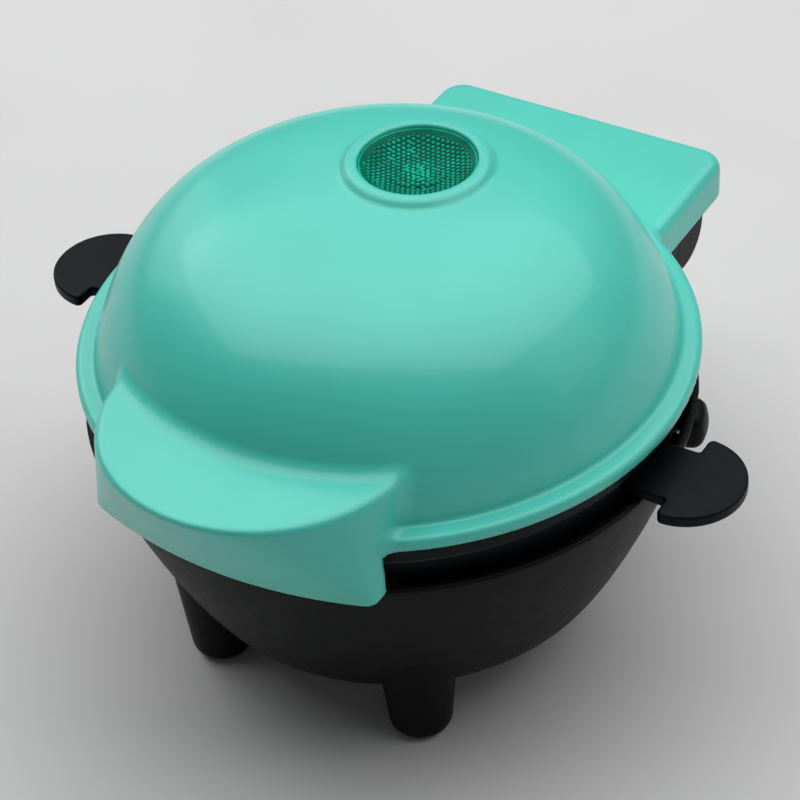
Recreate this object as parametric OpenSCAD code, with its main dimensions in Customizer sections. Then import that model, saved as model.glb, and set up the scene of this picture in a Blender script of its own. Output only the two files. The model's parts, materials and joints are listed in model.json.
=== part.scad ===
// Compact electric donut maker: a domed lid and a bowl-shaped base, hinged at the rear.
// Millimetres, +Z up, the front handle towards -Y, standing on z = 0.
// The bowl and the dome share one vertical axis, at y = axis_y.

/* [Overall] */
// Outer diameter of the lid's rim
rim_d = 150; // [146:1:170]
// Height of the rim's lower edge above the table
rim_z = 79; // [71:1:96]
// Height of the dome above the rim
dome_h = 37; // [33:1:48]

/* [Lid shell] */
// Wall of the moulded lid
lid_wall = 2.4; // [1.8:0.1:3]
// Height of the rim's outer edge
rim_h = 3.5; // [3:0.1:5]
// Flat between the rim's edge and the foot of the dome
rim_flat = 4.9; // [4:0.1:6]
// Width of the hollow under the rim's edge
rim_lip = 2.4; // [1.8:0.1:3]

/* [Indicator lens] */
// Radius of the lens
lens_r = 14.2; // [10:0.1:16]
// Distance of the lens behind the dome's axis
lens_back = 18; // [10:1:22]
// Width of the raised ring round the lens
lens_ring_w = 3.6; // [2.5:0.1:5]
// Height of the raised ring above the dome
lens_ring_h = 1.6; // [1:0.1:3]

/* [Handle] */
// Width of the handle
handle_w = 76; // [60:1:90]
// How far the handle's front edge stands out of the rim
handle_out = 16; // [12:1:24]
// How far the handle's lower edge stands out of the rim
handle_foot_out = 2.4; // [2.4:0.1:5]
// Height of the handle's top above the rim's lower edge
handle_top = 15.5; // [12:0.5:20]
// Depth of the handle's skirt below the rim's lower edge
handle_drop = 11.4; // [8:0.1:11.4]
// Radius of the lower edge's gentle curve
handle_sweep_r = 110; // [90:5:160]

/* [Hinge] */
// Width of the hood over the hinge
hood_w = 82; // [70:1:88]
// How far the hood stands out of the rim
hood_out = 28; // [27:0.1:34]
// Height of the hood's top above the rim's lower edge
hood_top = 4; // [3.8:0.1:6]
// Depth of the hood's sides below the rim's lower edge
hood_drop = 7; // [6:0.5:8]
// Radius of the hinge pin
pin_r = 2.5; // [2:0.1:3]
// Distance of the pin outside the rim
pin_out = 13.5; // [13:0.1:13.7]
// Depth of the pin below the rim's lower edge
pin_drop = 14.5; // [14:0.5:16]
// Outer radius of the hinge barrel
barrel_r = 11; // [8:0.5:11]
// Gap between the hood's inner side and the end of the barrel
barrel_side_gap = 2.4; // [0.4:0.1:4]

/* [Base] */
// Inset of the bowl's top edge from the rim's edge
bowl_inset = 0.4; // [0.4:0.1:2]
// How far the bowl's flat floor stays inside its top edge
bowl_floor_in = 21.1; // [19:0.1:24]
// Depth of the bowl's top edge below the rim's lower edge
bowl_drop = 11.8; // [11.8:0.1:14]
// Height of the bowl's floor above the table
bowl_floor_z = 16.5; // [14:0.5:17.5]
// Wall of the bowl
bowl_wall = 2.4; // [1.8:0.1:3]

/* [Feet] */
// Radius of a foot where it meets the bowl
foot_top_r = 10.6; // [9:0.1:11.4]
// Radius of a foot near the table
foot_tip_r = 7.8; // [7:0.1:9]
// Inset of a foot's centre from the edge of the bowl's floor
foot_inset = 2.9; // [1:0.1:3.5]
// Angle of a foot from the sideways direction
foot_angle = 55; // [50:1:58]
// Height of a foot's top above the bowl's floor
foot_rise = 15; // [8:0.5:18]

/* [Plates] */
// Inset of a baking plate's edge from the rim's edge
plate_inset = 5; // [5:0.1:6]
// Thickness of a plate's face
plate_t = 2.4; // [2:0.1:3]
// Gap between the closed plates
plate_gap = 0.2; // [0.1:0.1:0.5]
// Depth of the plates' parting plane below the rim's lower edge
parting_drop = 5; // [5:0.1:5.5]
// Radius of a donut's ring, to the middle of the dough
donut_mid_r = 15.5; // [14:0.5:17]
// Radius of the dough's cross-section
donut_r = 7.5; // [6:0.1:8]
// Straight depth of a mould above its round bottom
donut_lip = 1.5; // [1:0.1:2]
// Wall of a mould
donut_wall = 1.7; // [1.4:0.1:2]
// Sideways and front-to-back distance of a mould from the axis
donut_pitch = 25; // [25:0.5:26]
// Radius of a finger grip
grip_r = 14.5; // [12:0.5:16]
// How far a finger grip stands out of the rim
grip_out = 20; // [17:0.5:26]
// Distance of the grips in front of the axis
grip_front = 3; // [0:0.5:4]
// Thickness of a finger grip
grip_t = 3.2; // [2.6:0.1:3.3]

/* [Heaters] */
// Radius of a heater's tube
heater_r = 3.2; // [2.6:0.1:3.4]
// Angle that a heater's ring covers
heater_angle = 310; // [290:5:320]
// Thickness of the reflectors' sheet
sheet_t = 0.8; // [0.6:0.1:1]

/* [Release button] */
// Angle of the button behind the right-hand side
button_angle = 20; // [18:1:26]
// Width of the button
button_w = 10.5; // [8:0.5:12]
// Height of the button
button_h = 10; // [8:0.5:11]
// Distance that the button stands out of the bowl's top edge
button_proud = 2.6; // [2:0.1:3.5]
// Travel of the button
button_travel = 2.2; // [1.5:0.1:2.4]

/* [Fits] */
// Radial play of a screw in its hole
screw_play = 0.1; // [0.05:0.05:0.2]
// Radial play of the hinge pin in the base
pin_seat_play = 0.02; // [0.01:0.01:0.04]
// Radial play of the lid's ears on the pin
pin_run_play = 0.06; // [0.04:0.01:0.1]
// Gap between pieces that stand still beside each other
seat_gap = 0.1; // [0.05:0.05:0.2]
// Gap beside a piece that moves
move_gap = 0.4; // [0.3:0.05:0.6]

/* [Hidden] */
$fn = 96;

mint = [0.36, 0.83, 0.76];
charcoal = [0.15, 0.15, 0.16];
black = [0.06, 0.06, 0.07];
steel = [0.72, 0.73, 0.75];

eps = 0.01;
far = 200;
axis_y = -(hood_out - handle_out) / 2;
rim_r = rim_d / 2;

// Lid shell
dome_r = rim_r - rim_flat;
dome_z = rim_z + rim_h;
dome_p = 5.2;
dome_q = 1.22;
dome_steps = 28;
lip_z = rim_z + rim_h - lid_wall;
dome_top = dome_z + dome_h;
lid_inner_r = dome_r - lid_wall;

// Handle and hood
handle_reach = rim_r + handle_out;
handle_foot_reach = rim_r + handle_foot_out;
hood_reach = rim_r + hood_out;
hood_wall = lid_wall;
hood_corner_r = 5;
channel_x = [8, 16];
channel_h = 2.7;

// Bowl
bowl_top_r = rim_r - bowl_inset;
bowl_floor_r = bowl_top_r - bowl_floor_in;
bowl_z = rim_z - bowl_drop;
bowl_p = 1.17;
bowl_steps = 16;
foot_ring_r = bowl_floor_r - foot_inset;
foot_x = foot_ring_r * cos(foot_angle);
foot_y = foot_ring_r * sin(foot_angle);
cover_hole_r = bowl_floor_r - 17.5;
cover_lap = 7;
cover_screw_reach = cover_hole_r + 3.5;
cover_t = 2;
floor_top = bowl_floor_z + bowl_wall;

// Plates
plate_r = rim_r - plate_inset;
grip_reach = rim_r + grip_out;
parting_z = rim_z - parting_drop;
mould_z = plate_gap / 2 + donut_lip;
mould_depth = mould_z + donut_r + donut_wall;
rib_r = plate_r - 4.5;
rib_w = 1.5;
rib_h = 2;
lower_grip_z = bowl_z + move_gap;
upper_grip_z = parting_z - 0.6;
neck_half = 9;
tongue_half = 6;
tongue_t = 1.6;
tongue_reach = rib_r + 14;
tongue_slot_in = rib_r - 5.5;
lower_tongue_z = lower_grip_z + (grip_t - tongue_t) / 2;
upper_tongue_z = upper_grip_z + (grip_t - tongue_t) / 2;

// Frames that hold the plates
frame_tube_w = 3.4;
frame_foot_z = bowl_z - 10.2;
frame_seat_z = parting_z - plate_gap / 2 - plate_t - seat_gap;
ear_reach = plate_r - 11;
ear_r = 5;
ear_t = 3;
lid_frame_r = rim_r - rim_lip - 0.2;
lid_frame_w = 2;
lid_ear_t = 2;
lid_ear_z = parting_z + mould_depth + 0.4 - lid_ear_t;

// Heaters and reflectors, as distances from the parting plane
heater_ring_r = donut_pitch * sqrt(2);
heater_off = mould_depth + seat_gap + heater_r;
leg_turn = (360 - heater_angle) / 2;
lower_leg = 15;
upper_leg = 10;
pin_len = 5;
dish_r = ear_reach - 4.4;
dish_floor_r = dish_r - 7;
lower_rim_off = parting_z - frame_foot_z + seat_gap;
upper_rim_off = lid_ear_z + lid_ear_t + seat_gap - parting_z;
lower_dish_off = 24.6;
upper_dish_off = 21;
reflector_r = rib_r - 0.9;
thermo_y = -9;
thermo_r = 8.5;
thermo_h = 8;
thermo_ear = 12.5;
thermo_tab = 1.6;
blade_len = 4.5;
lead_r = 0.9;

// Screws
screw_r = 1.4;
screw_head_r = 2.8;
screw_head_h = 1.6;
boss_r = 4;

// Hinge
pin_reach = rim_r + pin_out;
pin_z = rim_z - pin_drop;
barrel_half = hood_w / 2 - hood_wall - barrel_side_gap;
pin_end_skin = 1.6;
ear_in = 13;
ear_out = 21;
ear_ring_r = 7.5;
bracket_t = 1.5;
bracket_z = rim_z - 2.1;
bracket_half = 22;
hinge_screw_x = 7;
hinge_screw_y = [-8, 7];

// Release button, in the radial direction at button_angle
button_z = bowl_z - 6.2;
button_face = bowl_top_r + button_proud;
button_back = button_face - 5.4;
button_stem_r = 2;
spring_r = 2.75;
spring_wire_r = 0.3;
spring_turns = 5;
spring_seat = plate_r - 2.6;
spring_bore = button_face - 2.6;
catch_in = rib_r - 4.7;
catch_out = catch_in + 2;

// Lamp under the lens
lamp_ear_x = lens_r + 5.8;
lamp_ear_z = dome_top - 12;
lamp_ear_t = 2;
lens_flange_t = 1.4;
lens_flange_z = dome_top - lid_wall - 0.9 - lens_flange_t;
lens_top_z = dome_top + lens_ring_h - 1.4;
cup_r = lens_r + 0.6;
cup_wall = 1.4;
cup_ledge = 0.9;
cup_foot_z = dome_top - 17;
board_t = 1.6;
diffuser_t = 0.8;
diffuser_z = lens_flange_z - 2;

// Base details
terminal_x = 9;
terminal_y = (cover_hole_r + bowl_floor_r) / 2;
terminal_top = floor_top + 12;
gland_z = floor_top + 13;
gland_boss_r = 9;
gland_boss_end = bowl_top_r - 6.6;
gland_hole_r = 6.6;
gland_bore_r = 3.6;
toe_r = 3.2;
pad_r = foot_tip_r - toe_r - 0.4;
pad_t = 1.6;
pad_proud = 0.4;
foot_head_z = bowl_floor_z - 5;
fuse_x = 26;
fuse_r = 2.4;
fuse_len = 15;
fuse_z = parting_z - lower_dish_off - sheet_t - seat_gap - fuse_r - 1;
clip_w = 9;
clip_t = 0.5;

// --- shared shapes ------------------------------------------------------------------------------

// Puts what is drawn about the bowl's axis in its place
module on_axis() translate([0, axis_y, 0]) children();

// The four quarters of a square pattern
module four(x, y) for (i = [-1, 1], j = [-1, 1]) translate([i * x, j * y, 0]) children();

// The four ears of a frame, at the sides, the front and the back
module round_ears() for (a = [0 : 90 : 270]) rotate([0, 0, a]) translate([ear_reach, 0, 0]) children();

// A tube between two heights
module tube(outer_r, inner_r, z0, z1) difference() {
    translate([0, 0, z0]) cylinder(r = outer_r, h = z1 - z0);
    translate([0, 0, z0 - 1]) cylinder(r = inner_r, h = z1 - z0 + 2);
}

// A disc between two heights
module disc(r, z0, z1) translate([0, 0, z0]) cylinder(r = r, h = z1 - z0);

// A box from its low corner to its high corner
module span(low, high) translate(low) cube(high - low);

// A cross-recessed screw: the head's underside is at z = 0 and the shank runs up
module screw(length) difference() {
    union() {
        translate([0, 0, -screw_head_h]) cylinder(r = screw_head_r, h = screw_head_h, $fn = 32);
        translate([0, 0, -eps]) cylinder(r = screw_r, h = length, $fn = 32);
    }
    for (a = [0, 90]) rotate([0, 0, a]) translate([-1.6, -0.3, -screw_head_h - 1]) cube([3.2, 0.6, 1.9]);
}

// Profile of the dome from its foot to its top, as [radius, height]
function dome_points(foot_r, foot_z, h) = [for (i = [0 : dome_steps]) let (a = 90 * i / dome_steps)
    [foot_r * pow(cos(a), 2 / dome_p), foot_z + h * pow(sin(a), 2 / dome_q)]];

// Solid dome, closed below at z0
module dome_solid(foot_r, foot_z, h, z0) rotate_extrude()
    polygon(concat([[0, z0], [foot_r, z0]], dome_points(foot_r, foot_z, h)));

// Profile of the bowl's side from its top edge to its floor
function bowl_points(inset) = [for (i = [0 : bowl_steps]) let (a = 90 * i / bowl_steps)
    [bowl_floor_r - inset + (bowl_top_r - bowl_floor_r) * pow(cos(a), 2 / bowl_p),
        bowl_z - (bowl_z - bowl_floor_z) * pow(sin(a), 2 / bowl_p)]];

// Solid bowl, inset by a wall, filled up to z1
module bowl_solid(inset, z1) rotate_extrude()
    polygon(concat([[0, z1], [bowl_top_r - inset, z1]], bowl_points(inset), [[0, bowl_floor_z]]));

// A round bar of radius r along a path; lean is a direction that the path never takes
function unit(v) = v / norm(v);
module bar(path, r, lean, sides) {
    last = len(path) - 1;
    aim = [for (i = [0 : last]) unit(path[min(i + 1, last)] - path[max(i - 1, 0)])];
    side = [for (a = aim) unit(cross(a, lean))];
    rings = [for (i = [0 : last], k = [0 : sides - 1]) let (t = 360 * k / sides)
        path[i] + r * (cos(t) * side[i] + sin(t) * cross(side[i], aim[i]))];
    walls = [for (i = [0 : last - 1], k = [0 : sides - 1]) let (n = (k + 1) % sides)
        each [[i * sides + k, (i + 1) * sides + n, i * sides + n],
            [i * sides + k, (i + 1) * sides + k, (i + 1) * sides + n]]];
    caps = [[for (k = [0 : sides - 1]) k], [for (k = [sides - 1 : -1 : 0]) last * sides + k]];
    polyhedron(rings, concat(walls, caps), convexity = 4);
}

// A flexible lead along a cubic curve through four control points
function curve_point(c, t) = pow(1 - t, 3) * c[0] + 3 * pow(1 - t, 2) * t * c[1]
    + 3 * (1 - t) * pow(t, 2) * c[2] + pow(t, 3) * c[3];
module lead(c, steps = 14) bar([for (i = [0 : steps]) curve_point(c, i / steps)], lead_r, [0.31, 0.17, 0.94], 8);

// --- lid ----------------------------------------------------------------------------------------

// Outline of the handle's top: a half disc that ends in the dome
module handle_top_outline(inset) {
    half = handle_w / 2;
    translate([0, -(handle_reach - half)]) circle(r = half - inset, $fn = 64);
    translate([-half + inset, -(handle_reach - half)]) square([handle_w - 2 * inset, 12]);
}

// Outline of the handle's lower edge: a gentle curve between two corners
module handle_foot_outline(inset) intersection() {
    translate([0, handle_sweep_r - handle_foot_reach]) circle(r = handle_sweep_r - inset, $fn = 180);
    translate([-handle_w / 2 + inset, -handle_reach]) square([handle_w - 2 * inset, handle_reach - 50]);
}

// The handle's body, which leans in from its top to its lower edge
module handle_solid(inset, top_z, foot_z, edge) hull() {
    translate([0, 0, foot_z]) linear_extrude(eps) handle_foot_outline(inset);
    translate([0, 0, top_z - edge]) linear_extrude(eps) handle_top_outline(inset);
    translate([0, 0, top_z - eps]) linear_extrude(eps) handle_top_outline(inset + edge);
}

// The hinge hood's plan, with round rear corners
module hood_block(half, back, corner, z0, z1) translate([0, 0, z0]) linear_extrude(z1 - z0) {
    translate([-half, 50]) square([2 * half, back - corner - 50]);
    translate([-half + corner, back - corner - eps]) square([2 * (half - corner), corner + eps]);
    for (s = [-1, 1]) translate([s * (half - corner), back - corner]) circle(r = corner);
}

module lid_shell() color(mint) on_axis() difference() {
    union() {
        difference() {
            union() {
                disc(rim_r, rim_z, dome_z);
                dome_solid(dome_r, dome_z, dome_h, rim_z);
                handle_solid(0, rim_z + handle_top, rim_z - handle_drop, 1.2);
                hood_block(hood_w / 2, hood_reach, hood_corner_r, rim_z - hood_drop, rim_z + hood_top);
                translate([0, lens_back, 0])
                    disc(lens_r + lens_ring_w, dome_top - lid_wall, dome_top + lens_ring_h);
            }
            dome_solid(lid_inner_r, dome_z, dome_h - lid_wall, rim_z - 1);
            disc(rim_r - rim_lip, rim_z - 1, lip_z);
            disc(rim_r + 0.3, 0, rim_z);
            handle_hollow();
            hood_hollow();
        }
        lid_bosses();
    }
    translate([0, lens_back, 0]) disc(lens_r + seat_gap, dome_z, far);
    round_ears() disc(screw_r + screw_play, rim_z, lid_ear_z + 13);
    span([channel_x[0], rim_r - 9, rim_z - 1], [channel_x[1], rim_r + 5, rim_z + channel_h]);
    hinge_screw_places() disc(screw_r + screw_play, rim_z - 1, rim_z + hood_top - 1);
    lamp_screw_places() disc(screw_r + screw_play, rim_z, dome_top - lid_wall);
}

// The hollow under the handle's top, outside the dome
module handle_hollow() difference() {
    handle_solid(lid_wall, rim_z + handle_top - lid_wall, rim_z - handle_drop - 1, 1);
    disc(rim_r, rim_z, dome_z);
    dome_solid(dome_r, dome_z, dome_h, rim_z);
}

// The hollow inside the hinge hood, behind the rim
module hood_hollow() difference() {
    hood_block(hood_w / 2 - hood_wall, hood_reach - hood_wall, hood_corner_r - hood_wall,
        rim_z - hood_drop - 1, rim_z + hood_top - hood_wall);
    disc(rim_r, rim_z - hood_drop - 2, far);
}

module hinge_screw_places() for (x = [-1, 1], y = hinge_screw_y)
    translate([x * hinge_screw_x, pin_reach + y, 0]) children();

module lamp_screw_places() for (x = [-1, 1]) translate([x * lamp_ear_x, lens_back, 0]) children();

// Screw bosses of the lid: four for its frame, four for the hinge bracket, two for the lamp cup
module lid_bosses() {
    intersection() {
        dome_solid(dome_r - eps, dome_z, dome_h - eps, rim_z);
        union() {
            round_ears() disc(boss_r, parting_z + upper_rim_off + sheet_t + seat_gap, far);
            lamp_screw_places()
                disc(boss_r - 0.6, lamp_ear_z + lamp_ear_t + seat_gap, dome_top - lid_wall / 2);
        }
    }
    hinge_screw_places() disc(boss_r - 1, bracket_z + bracket_t + seat_gap, rim_z + hood_top - hood_wall / 2);
}

module indicator_lens() color([0, 0.5, 0.38, 0.8]) on_axis() translate([0, lens_back, 0]) {
    disc(lens_r + 1.6, lens_flange_z, lens_flange_z + lens_flange_t);
    disc(lens_r, lens_flange_z, lens_top_z);
    translate([0, 0, lens_top_z - eps]) cylinder(r1 = lens_r, r2 = lens_r - 2.4, h = 0.8);
}

module lens_diffuser() color("white") on_axis() translate([0, lens_back, 0])
    disc(cup_r - cup_wall - seat_gap, diffuser_z, diffuser_z + diffuser_t);

module lamp_cup() color("white") on_axis() difference() {
    translate([0, lens_back, 0]) {
        tube(cup_r, cup_r - cup_wall, cup_foot_z, lens_flange_z - seat_gap);
        for (z = [cup_foot_z, diffuser_z - seat_gap - cup_ledge])
            tube(cup_r - cup_wall + eps, cup_r - cup_wall - 1.2, z, z + cup_ledge);
        for (s = [-1, 1]) difference() {
            union() {
                translate([s * lamp_ear_x, 0, 0]) disc(3.6, lamp_ear_z, lamp_ear_z + lamp_ear_t);
                span([min(0, s * lamp_ear_x), -3, lamp_ear_z],
                    [max(0, s * lamp_ear_x), 3, lamp_ear_z + lamp_ear_t]);
            }
            disc(cup_r - eps, lamp_ear_z - 1, lamp_ear_z + lamp_ear_t + 1);
        }
    }
    lamp_screw_places() disc(screw_r + screw_play, 0, far);
}

module lamp_board() color([0.1, 0.35, 0.2]) on_axis() translate([0, lens_back, cup_foot_z + cup_ledge + seat_gap])
    disc(cup_r - cup_wall - seat_gap, 0, board_t);

module indicator_lamps() color([1, 0.75, 0.3]) on_axis() for (x = [-5, 5])
    translate([x, lens_back, cup_foot_z + cup_ledge + board_t + 2 * seat_gap]) {
        disc(2.2, 0, 4.5);
        translate([0, 0, 4.5]) sphere(r = 2.2, $fn = 32);
    }

module lamp_screws() color(steel) on_axis() lamp_screw_places()
    translate([0, 0, lamp_ear_z]) screw(7);

// Ring that closes the lid below and carries the upper plate
module lid_frame() color(black) on_axis() difference() {
    seat_z = rim_z - 2.2;
    ring_in = rib_r + 1.1;
    collar_in = rib_r - 1.3;
    collar_out = lid_inner_r - 0.3;
    neck_out = collar_out - 1;
    top_z = lid_ear_z + lid_ear_t;
    union() {
        rotate_extrude() polygon([[ring_in, seat_z], [lid_frame_r - lid_frame_w, seat_z],
            [lid_frame_r - lid_frame_w, parting_z + plate_gap], [lid_frame_r, parting_z + plate_gap],
            [lid_frame_r, rim_z - seat_gap], [collar_out, rim_z - seat_gap], [collar_out, rim_z + 2.5],
            [neck_out, rim_z + 2.5], [neck_out, top_z], [collar_in, top_z], [collar_in, rim_z],
            [ring_in, rim_z]]);
        difference() {
            round_ears() {
                disc(ear_r, lid_ear_z, top_z);
                span([0, -ear_r, lid_ear_z], [8, ear_r, top_z]);
            }
            tube(far, collar_in + eps, 0, far);
        }
    }
    round_ears() disc(screw_r + screw_play, 0, far);
    span([channel_x[0], 0, rim_z + eps], [channel_x[1], far, far]);
    span([-far, -grip_front - neck_half - move_gap, 0],
        [-plate_r + 1, -grip_front + neck_half + move_gap, upper_grip_z + grip_t + move_gap]);
}

module lid_frame_screws() color(steel) on_axis() round_ears() translate([0, 0, lid_ear_z]) screw(11);

// Ring mould with a half-round bottom and straight lips up to top_z
module mould(r, top_z) rotate_extrude() {
    translate([donut_mid_r - r, -mould_z]) square([2 * r, top_z + mould_z]);
    intersection() {
        translate([donut_mid_r, -mould_z]) circle(r = r);
        translate([donut_mid_r - r, -mould_z - r]) square([2 * r, r + eps]);
    }
}

// A baking plate with four ring moulds: its face is at z = -plate_gap / 2 and it hangs below
module plate_body() difference() {
    union() {
        disc(plate_r, -plate_gap / 2 - plate_t, -plate_gap / 2);
        tube(rib_r, rib_r - rib_w, -plate_gap / 2 - plate_t - rib_h, -plate_gap / 2 - plate_t + eps);
        four(donut_pitch, donut_pitch) mould(donut_r + donut_wall, -plate_gap / 2 - plate_t / 2);
    }
    four(donut_pitch, donut_pitch) mould(donut_r, 1);
}

module upper_plate() color(black) on_axis() {
    translate([0, 0, parting_z]) mirror([0, 0, 1]) plate_body();
    plate_tongue(-1, upper_tongue_z);
}

// Spring clips that grip a plate's rib, in the direction out from the parting plane
module plate_clips() for (a = [60, 240]) rotate([0, 0, a])
    translate([rib_r + seat_gap, -clip_w / 2, -plate_gap / 2 - plate_t - seat_gap - 1.8])
        cube([clip_t, clip_w, 1.7]);

module upper_plate_clips() color(steel) on_axis() translate([0, 0, parting_z]) mirror([0, 0, 1]) plate_clips();

// Tubular heater under the parting plane, open at the rear, with its two legs
module heater_body(leg) translate([0, 0, -heater_off]) {
    rotate([0, 0, 90 + leg_turn]) rotate_extrude(angle = heater_angle)
        translate([heater_ring_r, 0]) circle(r = heater_r, $fn = 48);
    for (s = [-1, 1]) rotate([0, 0, 90 + s * leg_turn]) translate([heater_ring_r, 0, 0]) {
        sphere(r = heater_r + 0.3, $fn = 48);
        translate([0, 0, -leg]) cylinder(r = heater_r - 0.4, h = leg, $fn = 48);
        translate([0, 0, -leg - pin_len]) cylinder(r = 1.2, h = pin_len + eps, $fn = 24);
    }
}

module upper_heater() color(steel) on_axis() translate([0, 0, parting_z]) mirror([0, 0, 1]) heater_body(upper_leg);

// Saddles between a heater's ring and the floor of its reflector
module heater_clips(dish_off) for (a = [210, 270, 330]) rotate([0, 0, a])
    translate([heater_ring_r, 0, -dish_off + seat_gap]) difference() {
        translate([-5, -3, 0]) cube([10, 6, dish_off - heater_off - seat_gap]);
        translate([-3.5, -4, -1]) cube([7, 8, 1 + dish_off - heater_off - seat_gap - heater_r - 1]);
        translate([0, 0, dish_off - heater_off - seat_gap]) rotate([90, 0, 0])
            cylinder(r = heater_r + 0.25, h = 20, center = true);
    }

module upper_heater_clips() color(steel) on_axis() translate([0, 0, parting_z]) mirror([0, 0, 1])
    heater_clips(upper_dish_off);

// Sheet-metal dish behind a heater: rim_off and dish_off are its depths below the parting plane
module reflector_body(rim_off, dish_off) difference() {
    rotate_extrude() polygon([[0, -dish_off], [dish_floor_r, -dish_off], [dish_r, -rim_off],
        [reflector_r, -rim_off], [reflector_r, -rim_off - sheet_t], [dish_r - 0.4, -rim_off - sheet_t],
        [dish_floor_r - 0.4, -dish_off - sheet_t], [0, -dish_off - sheet_t]]);
    round_ears() disc(screw_r + screw_play, -far, far);
    for (s = [-1, 1]) rotate([0, 0, 90 + s * leg_turn]) translate([heater_ring_r, 0, 0])
        disc(heater_r + 0.4, -far, far);
    for (s = [-1, 1]) translate([s * thermo_ear, thermo_y, 0]) disc(screw_r + screw_play, -far, far);
    span([channel_x[0], dish_r + 2, -far], [channel_x[1], far, far]);
}

module upper_reflector() color(steel) on_axis() translate([0, 0, parting_z]) mirror([0, 0, 1])
    reflector_body(upper_rim_off, upper_dish_off);

// Snap-disc thermostat on the back of a reflector, with two blade terminals and two fixing ears
module thermostat_body() difference() {
    union() {
        disc(thermo_r, -thermo_h, -seat_gap);
        span([-thermo_ear - 3, -3, -thermo_tab - seat_gap], [thermo_ear + 3, 3, -seat_gap]);
        for (s = [-1, 1]) span([s * 4 - 0.4, -3, -thermo_h - blade_len], [s * 4 + 0.4, 3, -thermo_h + eps]);
    }
    for (s = [-1, 1]) translate([s * thermo_ear, 0, 0]) disc(screw_r + screw_play, -far, far);
}
module thermostat_screw_pair() for (s = [-1, 1])
    translate([s * thermo_ear, 0, -thermo_tab - 2 * seat_gap]) screw(thermo_tab + sheet_t + 0.8);

module upper_thermostat() color(charcoal) on_axis()
    translate([0, thermo_y, parting_z + upper_dish_off + sheet_t]) mirror([0, 0, 1]) thermostat_body();

module upper_thermostat_screws() color(steel) on_axis()
    translate([0, thermo_y, parting_z + upper_dish_off + sheet_t]) mirror([0, 0, 1]) thermostat_screw_pair();

// Place of a heater's leg at the end of its ring, on the right-hand side
leg_x = heater_ring_r * sin(leg_turn);
leg_y = heater_ring_r * cos(leg_turn);

// Leads of the lid: heater to thermostat, thermostat to the lamp board, heater to the hinge
module lid_wiring() color([0.8, 0.78, 0.7]) on_axis() {
    tip_z = parting_z + heater_off + upper_leg + pin_len + lead_r + seat_gap;
    blade_z = parting_z + upper_dish_off + sheet_t + thermo_h + blade_len + lead_r + seat_gap;
    low_z = parting_z + upper_dish_off + 6;
    lead([[-leg_x, leg_y, tip_z], [-leg_x - 14, leg_y - 5, tip_z], [-24, 0, low_z], [-4, thermo_y, blade_z]]);
    lead([[4, thermo_y, blade_z], [10, thermo_y, blade_z], [14, 6, low_z - 2], [8, 12, cup_foot_z - 2]]);
    lead([[leg_x, leg_y, tip_z], [leg_x, rim_r - 13, tip_z - 9], [12, rim_r - 17, rim_z + 0.4],
        [12, rim_r - 3, rim_z + 1.1]]);
}

// --- hinge --------------------------------------------------------------------------------------

module hinge_axis() translate([0, pin_reach, pin_z]) rotate([0, 90, 0]) children();

// Pressed bracket with two ears, screwed under the hood's top
module lid_hinge_bracket() color(steel) on_axis() difference() {
    union() {
        span([-bracket_half, pin_reach - 11, bracket_z], [bracket_half, pin_reach + 9.6, bracket_z + bracket_t]);
        for (s = [-1, 1]) {
            low_x = min(s * ear_in, s * ear_out);
            high_x = max(s * ear_in, s * ear_out);
            translate([low_x, 0, 0]) hinge_axis() cylinder(r = ear_ring_r, h = ear_out - ear_in);
            span([low_x, pin_reach - 5.5, pin_z], [high_x, pin_reach + 5.5, bracket_z + eps]);
        }
    }
    translate([-far / 2, 0, 0]) hinge_axis() cylinder(r = pin_r + pin_run_play, h = far);
    hinge_screw_places() disc(screw_r + screw_play, 0, far);
}

module hinge_screws() color(steel) on_axis() hinge_screw_places()
    translate([0, 0, bracket_z]) screw(4.4);

module hinge_pin() color(steel) on_axis() translate([-barrel_half + 0.5, 0, 0])
    hinge_axis() cylinder(r = pin_r, h = 2 * barrel_half - pin_end_skin - 0.6);

// --- base ---------------------------------------------------------------------------------------

// Side view of the hinge tower, from the bowl's wall to the barrel
module tower_outline() polygon([[bowl_top_r - 16, bowl_z - 29], [bowl_top_r - 16, bowl_z - 1],
    [pin_reach - 13, bowl_z - 1], [pin_reach - 7.5, pin_z + 8],
    [pin_reach, pin_z + barrel_r - eps], [pin_reach, pin_z - barrel_r + eps],
    [pin_reach - 8, pin_z - barrel_r - 3], [pin_reach - 17, pin_z - barrel_r - 11]]);

module hinge_tower() {
    translate([-barrel_half, 0, 0]) rotate([90, 0, 90]) linear_extrude(2 * barrel_half) tower_outline();
    translate([-barrel_half, 0, 0]) hinge_axis() cylinder(r = barrel_r, h = 2 * barrel_half);
}

module ear_slots() for (s = [-1, 1])
    translate([min(s * ear_in, s * ear_out) - move_gap, 0, 0]) hinge_axis()
        cylinder(r = barrel_r + 1.5, h = ear_out - ear_in + 2 * move_gap);

// Places a shape in the radial direction of the release button, at its height
module at_button() rotate([0, 0, button_angle]) translate([0, 0, button_z]) children();

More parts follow.
